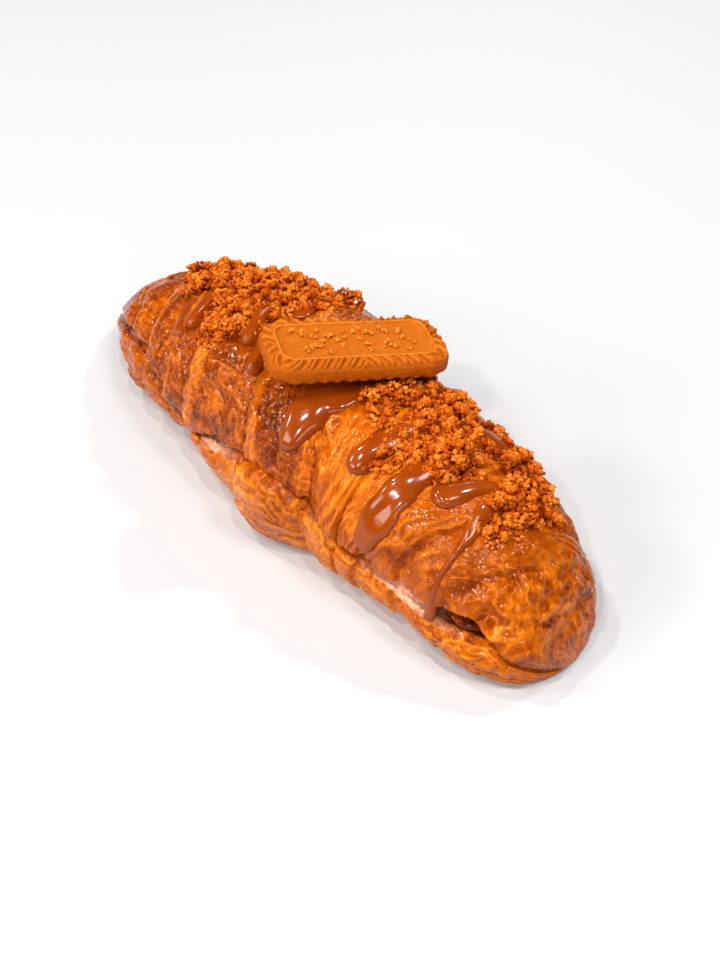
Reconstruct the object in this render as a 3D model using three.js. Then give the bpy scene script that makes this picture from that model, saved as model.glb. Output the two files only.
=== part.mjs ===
// A large filled croissant. The rolled pastry is sliced open along its front, spread fills the
// slice, and a caramelised biscuit lies across the crest.
// Millimetres, +Z up. +X runs towards the blunt end, the front faces -Y, and the origin is in the
// middle of the flat underside.
import * as THREE from "three";

// ---- driving dimensions ----
const LENGTH = 234; // tip to tip
const HEIGHT = 53.5; // surface to crest, before the rolls stand out
const HALF_WIDTH = { thin: 40.5, blunt: 35.2 }; // in the two halves, before the rolls stand out
const WIDTH_CHANGE = { from: -12, over: 40 };
const WIDEST_AT = 0.36; // height of the widest point, as a share of the height
// How far the underside is drawn in, as a share of the half width: least, and more where it is rounder.
const CORNER = 0.2;
const ROUNDER = [
  { at: -42, by: 0.25, reach: 26 },
  { at: 68, by: 0.25, reach: 28 },
];
const BACK_SLIMMER = { at: 94, by: 0.15, reach: 24 }; // share taken off the back of the blunt end
const SWAY = 2.8; // how far the centre line bends to each side
const TIP_NOD = 3.5; // how far both tips bend to the front
const TIP_LIFT = { thin: 5.8, blunt: 1.2 };
const LIFT_FROM = 0.4; // share of the half length where the underside starts to rise
const THIN_TAPER = { power: 2.3, round: 0.7 };
const BLUNT_TAPER = { power: 6.5, round: 0.5 };
const BLUNT_TAPER_UP = { power: 3.4, round: 0.7 };

// The rolled layers: where each layer's edge crosses the crest, and how far it stands over the next.
// Edges before the middle roll face the thin tip, and the others face the blunt end.
const ROLL_EDGES = [
  { at: -104, step: 1.8 },
  { at: -92, step: 2.6 },
  { at: -78, step: 3.0 },
  { at: -63, step: 3.0 },
  { at: -48, step: 4.0 },
  { at: -14, step: 3.6 },
  { at: 12, step: 2.4 },
  { at: 46, step: 2.2 },
  { at: 65, step: 2.2 },
  { at: 82, step: 2.2 },
  { at: 96, step: 2.0 },
  { at: 107, step: 1.4 },
];
const MIDDLE_ROLL = 6; // the roll between edges 5 and 6 lies over all the others
const ROLL_BULGE = 1.0;
const ROLL_LEAN = { middle: 42, spread: 22, thin: 15, blunt: 20 }; // the rolls slant round the crest

// The slice along the front. Its floor is the top of the base, which rises to the middle roll.
const BASE_HEIGHT = { thin: 14, blunt: 16.5 };
const BASE_RISE = { at: 8, by: 15, thinReach: 30, bluntReach: 40 };
const THIN_RISE = { at: -70, by: 11, reach: 20 };
const SLICE = { from: -36, to: 108, fade: 8, deep: 1.12, shallow: 0.1 };
const GAP = { shut: 1.0, inside: 3.4 };
const GAPES = [
  { at: -22, by: 2.8, reach: 9 },
  { at: 72, by: 3.4, reach: 15 },
  { at: 91, by: 5.2, reach: 8 },
];
const LIP_ROUND = 1.6; // how far the slice's two lips are drawn in
const SET_BACK = { thin: 2.0, blunt: 4.2, turn: 30, spread: 25 }; // the top lies behind the base
const SET_DEEPER = [
  { at: -20, by: 3.0, reach: 11 },
  { at: 72, by: 1.6, reach: 13 },
];
// Where the front of the base stands out, or is drawn in.
const BASE_PUSHES = [
  { at: 10, by: 3.4, reach: 12 },
  { at: -40, by: -3.3, reach: 21 },
  { at: 68, by: -3.0, reach: 24 },
];
const SPREAD = { from: -27, to: 99, clearance: 0.5, back: 3.0, wander: 1.1, waves: 0.23 };

// The biscuit.
const BISCUIT = { length: 60, width: 30.5, thick: 7.2, corner: 9, border: 4.4, sunk: 0.9 };
const FLUTE = { count: 44, depth: 0.45, rise: 0.5 };
const BISCUIT_CENTRE = [11, 2.4, 61.3];
const BISCUIT_TURN = THREE.MathUtils.degToRad(60); // about +Z, from +X
const BISCUIT_LEAN = THREE.MathUtils.degToRad(-7.7); // about its length: the front is the higher side
const BISCUIT_DIP = THREE.MathUtils.degToRad(6.8); // about its width: the +Y end is the lower one

const HALF = LENGTH / 2;
const QUARTER = Math.PI / 2;
const ROUND = 2 / 2.3; // exponent of the slightly square cross-section

// ---- small functions ----
const clamp = (v, low, high) => Math.min(Math.max(v, low), high);
const mix = (a, b, share) => a + (b - a) * share;
const smooth = (v) => {
  const s = clamp(v, 0, 1);
  return s * s * (3 - 2 * s);
};
const bump = (x, { at, by, reach }) => by * Math.exp(-(((x - at) / reach) ** 2));
const bumps = (x, list) => list.reduce((sum, one) => sum + bump(x, one), 0);
const signedPower = (v, power) => Math.sign(v) * Math.abs(v) ** power;
const fall = (share, { power, round }) => (1 - share ** power) ** round;

// ---- the pastry's plain form ----
const along = (x) => clamp(x / HALF, -0.9995, 0.9995);

function halfWidth(x) {
  const t = along(x);
  const share = t < 0 ? fall(-t, THIN_TAPER) : fall(t, BLUNT_TAPER);
  return share * mix(HALF_WIDTH.thin, HALF_WIDTH.blunt, smooth((x - WIDTH_CHANGE.from) / WIDTH_CHANGE.over));
}

function height(x) {
  const t = along(x);
  return HEIGHT * (t < 0 ? fall(-t, THIN_TAPER) : fall(t, BLUNT_TAPER_UP));
}

function centreY(x) {
  const t = along(x);
  return -SWAY * Math.sin(Math.PI * t) - TIP_NOD * t ** 8;
}

function lift(x) {
  const past = Math.max(0, (Math.abs(along(x)) - LIFT_FROM) / (1 - LIFT_FROM));
  return (x < 0 ? TIP_LIFT.thin : TIP_LIFT.blunt) * past ** 2;
}

// How small the pastry is at x, from 0 at a tip to 1 in the middle.
const size = (x) => height(x) / HEIGHT;

// How far a ring that crosses the crest at u leans, along X, at its back.
function lean(u) {
  const side = Math.tanh((u - ROLL_LEAN.middle) / ROLL_LEAN.spread);
  const most = side < 0 ? ROLL_LEAN.thin : ROLL_LEAN.blunt;
  return side * most * (1 - Math.abs(u / HALF) ** 5);
}

// Height of the rolled surface over the plain form, for a ring that crosses the crest at u.
function rollRise(u) {
  const next = ROLL_EDGES.findIndex((edge) => u < edge.at);
  const index = next < 0 ? ROLL_EDGES.length : next;
  const left = ROLL_EDGES[index - 1] ?? { at: -HALF, step: 0 };
  const right = ROLL_EDGES[index] ?? { at: HALF, step: 0 };
  const share = clamp((u - left.at) / (right.at - left.at), 0, 1);
  const leftRise = index <= MIDDLE_ROLL ? left.step / 2 : -left.step / 2;
  const rightRise = index < MIDDLE_ROLL ? -right.step / 2 : right.step / 2;
  return mix(leftRise, rightRise, share) + ROLL_BULGE * Math.sin(Math.PI * share);
}

// A point of the skin on the ring at u. The angle is 0 at the back's widest point, a quarter turn
// at the crest, a half turn at the front's widest point, and a quarter turn more at the surface.
function skin(u, angle) {
  const reach = Math.cos(clamp(angle, 0, Math.PI));
  const x = u + lean(u) * reach;
  const middle = WIDEST_AT * height(x);
  const rise = rollRise(u) * Math.sqrt(size(x));
  const slim = reach > 0 ? 1 - bump(x, BACK_SLIMMER) : 1;
  if (angle >= 0 && angle <= Math.PI) {
    const y = centreY(x) + slim * (halfWidth(x) + rise) * signedPower(reach, ROUND);
    return { x, y, z: middle + (height(x) - middle + rise) * Math.sin(angle) ** ROUND + lift(x) };
  }
  const turn = angle < 0 ? -angle : angle - Math.PI;
  const inset = (CORNER + bumps(x, ROUNDER)) * halfWidth(x) * (1 - Math.cos(turn));
  const y = centreY(x) + slim * reach * (halfWidth(x) - inset + rise * Math.cos(turn));
  return { x, y, z: middle * (1 - Math.sin(turn)) + lift(x) };
}

// The angle where the front of the skin reaches a height above the underside.
function frontAngle(u, above) {
  const x = u - lean(u);
  const middle = WIDEST_AT * height(x);
  if (above < middle) return Math.PI + Math.asin(1 - above / middle);
  const rise = rollRise(u) * Math.sqrt(size(x));
  const share = clamp((above - middle) / (height(x) - middle + rise), 0, 0.95);
  return Math.PI - Math.asin(share ** (1 / ROUND));
}

// ---- the slice ----
const sliceOpen = (x) =>
  smooth((x - SLICE.from) / SLICE.fade) * smooth((SLICE.to - x) / SLICE.fade);

function baseHeight(x) {
  const reach = x < BASE_RISE.at ? BASE_RISE.thinReach : BASE_RISE.bluntReach;
  const low = x < BASE_RISE.at ? BASE_HEIGHT.thin : BASE_HEIGHT.blunt;
  const middle = BASE_HEIGHT.thin + BASE_RISE.by;
  const rise = bump(x, { at: BASE_RISE.at, by: middle - low, reach }) + bump(x, THIN_RISE);
  return Math.min(low + rise, 0.6 * height(x));
}

const mouthGap = (x) =>
  Math.min(GAP.shut + sliceOpen(x) * bumps(x, GAPES), 0.2 * height(x));

function setBack(x) {
  const share = smooth((x - SET_BACK.turn) / SET_BACK.spread + 0.5);
  return (mix(SET_BACK.thin, SET_BACK.blunt, share) + bumps(x, SET_DEEPER)) * Math.sqrt(size(x));
}

// The slice for the ring at u: the angles of its two lips, its floor, and how far in it reaches.
function sliceOf(u) {
  const x = u - lean(u);
  const floor = baseHeight(x);
  const mouth = mouthGap(x);
  const baseAngle = frontAngle(u, floor);
  const topAngle = frontAngle(u, floor + mouth);
  const round = LIP_ROUND * Math.sqrt(size(x));
  const topY = skin(u, topAngle).y + setBack(x) + round;
  const mouthY = Math.min(skin(u, baseAngle).y - bumps(x, BASE_PUSHES) + round, topY - 0.3);
  const rootY = topY + mix(SLICE.shallow, SLICE.deep, sliceOpen(x)) * halfWidth(x);
  const inside = Math.min(mix(GAP.shut, GAP.inside, sliceOpen(x)), 0.1 * height(x));
  return { x, floor: floor + lift(x), mouth, inside, baseAngle, topAngle, mouthY, topY, rootY };
}

// Height of the slice's gap at a share of the way in from its upper lip: it changes from the height at
// the mouth to the height inside, and then narrows towards the root.
const MOUTH_SHARE = 0.36;
function gapAt(slice, inwards) {
  if (inwards < MOUTH_SHARE) return mix(slice.mouth, slice.inside, inwards / MOUTH_SHARE);
  return slice.inside * mix(1, 0.6, (inwards - MOUTH_SHARE) / (1 - MOUTH_SHARE));
}

// ---- the pastry ----
const BACK_STEPS = 3;
const DOME_STEPS = 17;
const SLICE_SHARES = [0, MOUTH_SHARE, 0.7, 1];
const BASE_STEPS = 5;
const UNDER_STEPS = 5;

// One closed ring of the pastry: up the back, over the crest, into the slice and out again, down
// the front of the base and back underneath.
function pastryRing(u) {
  const slice = sliceOf(u);
  const ring = [];
  for (let i = 0; i < BACK_STEPS; i++) ring.push(skin(u, -QUARTER * (1 - i / BACK_STEPS)));

  for (let i = 0; i < DOME_STEPS; i++) {
    const point = skin(u, (slice.topAngle * i) / DOME_STEPS);
    point.y += setBack(point.x) * smooth((i / DOME_STEPS - 0.55) / 0.35);
    ring.push(point);
  }
  for (const inwards of SLICE_SHARES) {
    const y = mix(slice.topY, slice.rootY, inwards);
    ring.push({ x: slice.x, y, z: slice.floor + gapAt(slice, inwards) });
  }
  for (const inwards of SLICE_SHARES.toReversed()) {
    ring.push({ x: slice.x, y: mix(slice.topY, slice.rootY, inwards), z: slice.floor });
  }
  ring.push({ x: slice.x, y: slice.mouthY, z: slice.floor });
  for (let i = 1; i <= BASE_STEPS; i++) {
    const share = i / BASE_STEPS;
    const point = skin(u, mix(slice.baseAngle, 3 * QUARTER, share));
    point.y -= bumps(point.x, BASE_PUSHES);
    ring.push(point);
  }
  const front = ring.at(-1);
  const back = ring[0];
  for (let i = 1; i < UNDER_STEPS; i++) {
    const share = i / UNDER_STEPS;
    const x = mix(front.x, back.x, share);
    ring.push({ x, y: mix(front.y, back.y, share), z: mix(front.z, back.z, share) });
  }
  return ring;
}

// Where the rings stand: close together at each roll's edge, further apart between.
function ringPlaces() {
  const marks = [-HALF, ...ROLL_EDGES.map((edge) => edge.at), HALF];
  const places = [];
  for (let i = 0; i + 1 < marks.length; i++) {
    const start = marks[i] + (i === 0 ? 0.25 : 0.6);
    const end = marks[i + 1] - (i + 2 === marks.length ? 0.25 : 0.6);
    const steps = Math.max(3, Math.round((end - start) / 5.5));
    for (let k = 0; k <= steps; k++) places.push(mix(start, end, k / steps));
  }
  return places;
}

// A closed surface through rings of equal length, with a flat fan over each end.
function loft(rings) {
  const count = rings[0].length;
  const positions = rings.flat().flatMap((p) => [p.x, p.y, p.z]);
  const index = [];
  for (let i = 0; i + 1 < rings.length; i++) {
    for (let j = 0; j < count; j++) {
      const a = i * count + j;
      const b = i * count + ((j + 1) % count);
      index.push(a, b, b + count, a, b + count, a + count);
    }
  }
  for (const end of [0, rings.length - 1]) {
    const middle = positions.length / 3;
    const ring = rings[end];
    for (const key of ["x", "y", "z"]) {
      positions.push(ring.reduce((sum, p) => sum + p[key], 0) / count);
    }
    for (let j = 0; j < count; j++) {
      const a = end * count + j;
      const b = end * count + ((j + 1) % count);
      index.push(middle, ...(end === 0 ? [b, a] : [a, b]));
    }
  }
  const geometry = new THREE.BufferGeometry();
  geometry.setAttribute("position", new THREE.Float32BufferAttribute(positions, 3));
  geometry.setIndex(index);
  return geometry;
}

// ---- the spread in the slice ----
// It fills the slice from near its root to a wavy front edge a little inside the lips. The share is
// 0 at its first ring and 1 at its last, and it thins out to both.
function spreadRing(u, share) {
  const slice = sliceOf(u);
  const setIn = SPREAD.back + SPREAD.wander * Math.sin(u * SPREAD.waves);
  const shares = [setIn / (slice.rootY - slice.topY), MOUTH_SHARE, 0.7, 0.95];
  const thin = Math.sin(Math.PI * mix(0.1, 0.9, share)) ** 0.25;
  const place = (inwards, side) => {
    const middle = gapAt(slice, inwards) / 2;
    const half = Math.max((middle - SPREAD.clearance) * thin, 0.15);
    const y = mix(slice.topY, slice.rootY, inwards);
    return { x: slice.x, y, z: slice.floor + middle + side * half };
  };
  const top = shares.toReversed().map((inwards) => place(inwards, 1));
  return [...top, ...shares.map((inwards) => place(inwards, -1))];
}

// ---- the biscuit ----
// A point of its outline at a share of the way round, drawn in from the edge by inset: a rectangle
// whose corners are quarter circles.
function biscuitOutline(share, inset) {
  const radius = Math.max(BISCUIT.corner - inset, 1);
  const halfX = BISCUIT.length / 2 - inset - radius;
  const halfY = BISCUIT.width / 2 - inset - radius;
  const corner = QUARTER * radius;
  let distance = share * 4 * (halfX + halfY + corner);
  for (let side = 0; side < 4; side++) {
    const turn = side * QUARTER;
    const [out, half] = side % 2 === 0 ? [halfX, halfY] : [halfY, halfX];
    const straight = Math.min(distance, 2 * half);
    const bend = clamp(distance - 2 * half, 0, corner) / radius;
    if (distance <= 2 * half + corner || side === 3) {
      const x = out + radius * Math.cos(bend);
      const y = straight - half + radius * Math.sin(bend);
      return [x * Math.cos(turn) - y * Math.sin(turn), x * Math.sin(turn) + y * Math.cos(turn)];
    }
    distance -= 2 * half + corner;
  }
}

function biscuitRing(inset, height, fluteDepth, fluteRise) {
  const ring = [];
  const steps = FLUTE.count * 3;
  for (let i = 0; i < steps; i++) {
    const share = i / steps;
    const wave = 0.5 - 0.5 * Math.cos(2 * Math.PI * FLUTE.count * share);
    const [x, y] = biscuitOutline(share, inset + fluteDepth * wave);
    ring.push({ x, y, z: height - fluteRise * wave });
  }
  return ring;
}

// From the underside up the fluted side, over the fluted border and down into the sunk panel.
function biscuitGeometry() {
  const half = BISCUIT.thick / 2;
  const rim = half - 0.4;
  return loft([
    biscuitRing(1.4, -half, 0, 0),
    biscuitRing(0.3, -half + 1.1, FLUTE.depth * 0.6, 0),
    biscuitRing(0, -0.2, FLUTE.depth, 0),
    biscuitRing(0.5, rim - 1.1, FLUTE.depth, 0),
    biscuitRing(1.5, rim, FLUTE.depth, FLUTE.rise),
    biscuitRing(BISCUIT.border - 0.6, half, 0, FLUTE.rise * 0.4),
    biscuitRing(BISCUIT.border, half - 0.1, 0, 0),
    biscuitRing(BISCUIT.border + 0.7, half - BISCUIT.sunk, 0, 0),
  ]);
}

// ---- the object ----
function piece(name, geometry, color, roughness) {
  const material = new THREE.MeshStandardMaterial({ color, roughness, metalness: 0 });
  const mesh = new THREE.Mesh(geometry, material);
  mesh.name = name;
  return mesh;
}

const croissant = new THREE.Group();
croissant.add(piece("pastry", loft(ringPlaces().map(pastryRing)), 0xb5601c, 0.45));

const spreadPlaces = ringPlaces().filter((u) => {
  const x = u - lean(u);
  return x > SPREAD.from && x < SPREAD.to;
});
const spreadRings = spreadPlaces.map((u, i) => spreadRing(u, i / (spreadPlaces.length - 1)));
croissant.add(piece("spread_filling", loft(spreadRings), 0x5a2a10, 0.35));

const biscuit = piece("biscuit", biscuitGeometry(), 0xc8741f, 0.8);
biscuit.position.set(...BISCUIT_CENTRE);
biscuit.rotation.set(BISCUIT_LEAN, BISCUIT_DIP, BISCUIT_TURN, "ZYX");
croissant.add(biscuit);

export default croissant;
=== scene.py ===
"""The looks of a filled croissant with sauce, biscuit crumbs and a caramelised biscuit on top.

Shapes are worked out in millimetres, in the frame's own axes, and turned into metres where a mesh
is made. The pastry is a closed grid of rings, one for each place along the crest.
"""

from itertools import product
from math import cos, pi, radians, sin

import bmesh
import bpy
import numpy as np
from mathutils import Euler, Matrix, Vector


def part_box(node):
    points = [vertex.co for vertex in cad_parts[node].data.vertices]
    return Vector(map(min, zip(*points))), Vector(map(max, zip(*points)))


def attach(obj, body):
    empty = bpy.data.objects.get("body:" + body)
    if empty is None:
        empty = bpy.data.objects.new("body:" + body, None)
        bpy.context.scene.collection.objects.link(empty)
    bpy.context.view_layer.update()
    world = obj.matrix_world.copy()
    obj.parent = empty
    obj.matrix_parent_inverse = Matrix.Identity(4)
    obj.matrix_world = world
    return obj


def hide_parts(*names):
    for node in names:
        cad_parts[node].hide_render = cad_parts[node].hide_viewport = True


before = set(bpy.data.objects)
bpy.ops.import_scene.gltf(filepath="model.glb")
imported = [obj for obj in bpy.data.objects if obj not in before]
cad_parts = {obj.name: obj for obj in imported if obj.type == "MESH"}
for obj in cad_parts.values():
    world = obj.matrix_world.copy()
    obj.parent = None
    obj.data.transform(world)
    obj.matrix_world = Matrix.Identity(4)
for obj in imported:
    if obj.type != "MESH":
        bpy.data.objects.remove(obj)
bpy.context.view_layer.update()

MM = 0.001

# ---- the camera, at the picture's viewing angle ----
CAMERA_TARGET = (33.6, -15.75, 30.0)
CAMERA_DISTANCE = 375.2
CAMERA_AZIMUTH = radians(45.2)
CAMERA_ELEVATION = radians(46.0)
CAMERA_ROLL = radians(1.5)
CAMERA_LENS = 43.1

# ---- the pastry's plain form, as in the CAD model ----
# Each row of three is a place along the croissant, an amount there and its reach. A pair of
# widths, lifts, leans, heights or depths is the thin side's and the blunt side's. A taper is its
# power and its roundness.
PASTRY_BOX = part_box("pastry")
HALF = (PASTRY_BOX[1][0] - PASTRY_BOX[0][0]) / MM / 2
HEIGHT = 53.5
HALF_WIDTH = (40.5, 35.2)
WIDTH_CHANGE = (-12.0, 40.0)  # where the width starts to change, and over what length
WIDEST_AT = 0.36
CORNER = 0.2
ROUNDER = ((-42, 0.25, 26), (68, 0.25, 28))
BACK_SLIMMER = (94, 0.15, 24)
SWAY = 2.8
TIP_NOD = 3.5
TIP_LIFT = (5.8, 1.2)
LIFT_FROM = 0.4
THIN_TAPER = (2.3, 0.7)
BLUNT_TAPER = (6.5, 0.5)
BLUNT_TAPER_UP = (3.4, 0.7)
ROUND = 2 / 2.3
QUARTER = pi / 2

# Where each roll's edge crosses the crest, its step, and how wide the step's open layers show.
ROLL_EDGES = (
    (-104, 1.8, 1.4),
    (-92, 2.6, 1.8),
    (-78, 3.0, 2.2),
    (-63, 3.0, 2.4),
    (-48, 4.0, 5.4),
    (-14, 3.6, 4.8),
    (12, 2.4, 2.4),
    (46, 2.2, 1.6),
    (65, 2.2, 1.6),
    (82, 2.2, 1.4),
    (96, 2.0, 1.2),
    (107, 1.4, 1.0),
)
MIDDLE_ROLL = 6
ROLL_BULGE = 1.0
LEAN_MIDDLE = 42.0
LEAN_SPREAD = 22.0
LEAN_MOST = (15.0, 20.0)

# The slice, and the spread in it.
BASE_HEIGHT = (14.0, 16.5)
BASE_RISE_AT = 8.0
BASE_RISE_BY = 15.0
BASE_RISE_REACH = (30.0, 40.0)
THIN_RISE = (-70, 11.0, 20)
SLICE_FROM, SLICE_TO, SLICE_FADE = -36.0, 108.0, 8.0
SLICE_DEEP, SLICE_SHALLOW = 1.12, 0.1
GAP_SHUT, GAP_INSIDE = 1.0, 3.4
MOUTH_SHARE = 0.36  # the share of the slice's depth where its mouth has closed in
GAPES = ((-22, 2.8, 9), (72, 3.4, 15), (91, 5.2, 8))
LIP_ROUND = 1.6
SET_BACK = (2.0, 4.2)
SET_BACK_TURN, SET_BACK_SPREAD = 48.0, 22.0
BASE_PUSHES = ((10, 3.4, 12), (-40, -3.3, 21), (68, -3.0, 24))
PALE_LEDGES = ((71, 1.0, 11), (-20, 0.55, 9))  # where the slice shows its pale inside
SET_DEEPER = ((-20, 3.0, 11), (72, 1.6, 13))
END_FLAP = (111, 4.0, 5)

# Torn layers on the dome and on the base's side. Each row is how far apart they are, their step,
# how far they wander, and the reach of that. They are strong in some spots and weak in others.
# Their rims are painted lighter, partly as a painted highlight, and their steps' feet get painted
# shade.
FLAKES = dict(
    rows=((7.4, 1.0, 1.6, 15), (3.3, 0.5, 1.5, 8)),
    sharp=0.24,
    drift_long=2,
    spot_wide=1,
    spot_long=1.6,
    least=0.35,
    varied=1.4,
    middle=0.4,
    rim=0.5,
    groove_shade=0.4,
)
STRATA = dict(
    rows=((4.6, 0.8, 1.3, 11), (2.1, 0.3, 1.3, 6)),
    sharp=0.14,
    drift_long=1,
    spot_wide=0.7,
    spot_long=1,
    least=0.62,
    varied=0.9,
    middle=0.5,
    rim=0.45,
    groove_shade=0.35,
)

# The spread in the slice, drawn in from the pastry.
SPREAD_FROM, SPREAD_TO, SPREAD_CLEAR = -27.0, 99.0, 0.4
SPREAD_BACK, SPREAD_WANDER, SPREAD_WAVES = 2.6, 1.0, 0.23
SPREAD_BULGE = (92, 4.6, 6)
SPREAD_HOLLOW = (92, 0.9, 9)

# The biscuit across the crest.
BISCUIT_LENGTH, BISCUIT_WIDTH, BISCUIT_THICK = 60.0, 30.5, 7.2
BISCUIT_CORNER, BISCUIT_BORDER = 9.0, 4.4
BISCUIT_CENTRE = (11.0, 2.4, 61.3)
BISCUIT_TURNS = (radians(-7.7), radians(6.8), radians(60))
RIDGE_SPACING, RIDGE_SLANT, RIDGE_REACH, RIDGE_HEIGHT = 4.3, 3.0, 5.6, 0.9
UNDER_RINGS, PANEL_RINGS = 8, 55

# The sauce's runs down the crust. Each row is a place along the croissant, an angle over the
# crest in degrees, a half width and a thickness.
SAUCE_RUNS = (
    ((15, 80, 11.0, 0.6), (14.6, 92, 10.6, 1.0), (14, 104, 8.8, 1.4), (14, 116, 6.8, 1.9),
     (15, 129, 5.9, 2.3), (16, 142, 4.7, 2.6)),
    ((45, 90, 3.4, 0.3), (43, 100, 3.8, 1.0), (41, 111, 4.2, 1.8), (40, 120, 4.2, 2.2),
     (40.2, 129, 3.6, 2.4)),
    ((58, 96, 4.4, 0.3), (56.8, 108, 4.8, 1.2), (56, 122, 5.0, 1.9), (55.6, 136, 5.2, 2.2),
     (55, 148, 5.1, 2.4), (53.2, 164, 4.2, 2.6)),
    ((75, 80, 2.0, 0.4), (71.4, 90, 3.4, 1.5), (69, 100, 4.6, 2.4), (66.6, 109, 4.9, 2.8)),
    ((78, 92, 2.6, 0.5), (79, 102, 2.4, 1.2), (80, 116, 1.9, 1.4), (80.8, 132, 1.3, 1.3),
     (81.6, 154, 1.1, 1.3), (82, 176, 1.7, 1.5)),
    ((-60, 88, 3.4, 0.5), (-57, 97, 3.2, 2.0), (-53.6, 110, 2.8, 2.6), (-51.2, 121, 3.0, 3.2)),
    ((-63, 104, 1.8, 0.9), (-58, 118, 1.9, 1.8), (-52.6, 130, 2.2, 2.6)),
    ((-36, 86, 3.4, 0.5), (-31, 96, 3.2, 1.9), (-27, 105, 3.0, 2.5), (-25, 110, 3.1, 3.0)),
    ((-19, 96, 3.6, 1.2), (-18, 108, 3.2, 2.4), (-15, 122, 3.1, 3.0)),
    ((-78, 84, 1.6, 0.5), (-73, 94, 1.6, 1.2), (-66, 106, 1.4, 1.5)),
    ((58, 46, 6.0, 1.0), (60, 60, 7.5, 1.3), (62, 76, 6.0, 0.7)),
    ((88, 40, 3.0, 1.2), (86, 56, 4.0, 1.5), (84, 70, 4.0, 0.5)),
    ((-28, 64, 4.0, 0.8), (-26, 72, 4.2, 1.4), (-24, 82, 4.0, 0.6)),
)
SAUCE_SUNK = 0.9

# The crumbs lie from their far edge over the crest to these places and angles in degrees.
CRUMB_ZONES = dict(
    blunt=((24, 70), (26, 88), (31, 106), (37, 109), (46, 119), (56, 111), (62, 102), (69, 86),
           (76, 92), (81, 102), (86, 98), (90, 84), (91, 58)),
    thin=((-91, 70), (-84, 82), (-75, 89), (-62, 98), (-53, 103), (-47, 118), (-40, 118),
          (-32, 115), (-27, 108), (-25, 84), (-16, 60)),
)
CRUMB_FAR = 46.0
CRUMB_RADIUS = 46.0  # turns an angle over the crest into a length under the crumbs
CRUMB_STEP = 0.38

# Bare spots in the crumbs: place and angle, reach, and how far the crumbs' edge draws back there.
CRUMB_HOLES = (
    (62, 66, 9, 30),
    (47, 92, 4.5, 20),
    (76, 76, 5, 20),
    (79, 114, 5, 20),
    (33, 84, 4, 16),
    (-38, 84, 5, 16),
    (-62, 78, 4, 14),
)

# Clumps of knobs on the heaps, on the biscuit's panel and scattered loose. Each row is how large
# the clumps are, how many knobs each has, and how large those are.
HEAP_CLUMPS = ((1.2, 4.0), 58, (0.4, 0.85))
PANEL_CLUMPS = ((0.3, 1.3), 5, (0.3, 0.6))
LOOSE_CLUMPS = ((0.3, 1.1), 4, (0.28, 0.55))
HEAP_COUNTS, HEAP_APART = dict(blunt=165, thin=140), 3.9
PANEL_COUNT, PANEL_REACH, PANEL_PALER = 40, (20.0, 7.0), 0.45
LOOSE_COUNT, LOOSE_APART, LOOSE_PALER = 700, 1.2, 0.25
NIBS, NIB_RADII = 4000, (0.3, 0.75)
LUMPINESS = 0.75

# The floor and the lights, in metres. Each light has an azimuth and an elevation in degrees, a
# distance, a width and a power. The glints are small lights that share all but their angles.
FLOOR_WIDTH, FLOOR_DROP = 6.0, 0.0002
FLOOR_COLOUR = (0.61, 0.61, 0.61, 1)
WORLD_LIGHT = 0.05
LIGHTS = dict(
    overhead=(110, 62, 2.4, 0.6, 18.5),
    window=(-45, 40, 2.0, 0.26, 9),
    softbox=(-14, 29, 2.0, 0.75, 15),
    front=(60, 24, 2.2, 0.6, 6),
    back=(215, 28, 2.2, 0.8, 7),
)
GLINTS = ((-70, 60), (-15, 66), (20, 50), (70, 74), (170, 50))
GLINT = (1.6, 0.07, 5.5)


# ---- small functions ----
def mix(a, b, share):
    return a + (b - a) * share


def smooth(v):
    s = np.clip(v, 0, 1)
    return s * s * (3 - 2 * s)


def bump(x, at, by, reach):
    return by * np.exp(-(((x - at) / reach) ** 2))


def bumps(x, rows):
    return sum(bump(x, *row) for row in rows)


def signed_power(v, power):
    return np.sign(v) * np.abs(v) ** power


def fall(share, power, roundness):
    return (1 - np.clip(share, 0, 1) ** power) ** roundness


def folds(field, width):
    """1 along the lines where a field is 0, and less on both sides of them."""
    return np.exp(-((field / width) ** 2))


def domes(gap, reach):
    """Rounded domes from the distances to their middles: 1 there, and 0 from the reach on."""
    return np.sqrt(np.clip(1 - (gap / reach) ** 2, 0, 1))


def flat(u, v):
    """Places on a flat sheet, for noise that follows two axes alone."""
    u, v = np.broadcast_arrays(u, v)
    return np.stack([u, v, np.zeros(u.shape)], axis=-1)


def unit(vectors):
    return vectors / np.maximum(np.linalg.norm(vectors, axis=-1, keepdims=True), 1e-9)


def relax(line, times):
    """Rounds off a line of values or points in place, and leaves its two ends where they are."""
    for _ in range(times):
        line[1:-1] = (line[:-2] + 2 * line[1:-1] + line[2:]) / 4


# ---- seeded noise over points in space ----
def hashed(cell, seed):
    """A number from 0 to 1 for each whole-numbered cell."""
    n = cell[..., 0] * 374761393 + cell[..., 1] * 668265263 + cell[..., 2] * 2147483647
    n = (n + seed * 1274126177) & 0xFFFFFFFF
    n = ((n ^ (n >> 13)) * 1274126177) & 0xFFFFFFFF
    return ((n ^ (n >> 16)) & 0xFFFFFF) / 0xFFFFFF


def noise(points, size, seed):
    """Smooth noise from -1 to 1, with bumps about as large as size."""
    p = points / np.asarray(size, float)
    low = np.floor(p).astype(np.int64)
    f = smooth(p - low)
    total = np.zeros(p.shape[:-1])
    for corner in product((0, 1), repeat=3):
        share = np.prod(np.where(np.array(corner) == 1, f, 1 - f), axis=-1)
        total += share * hashed(low + corner, seed)
    return total * 2 - 1


def rough(points, size, seed):
    """Noise with finer noise on it."""
    total = 0
    for octave in range(3):
        total = total + noise(points, np.asarray(size) / 2**octave, seed + octave) / 2**octave
    return total / 1.6


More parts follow.
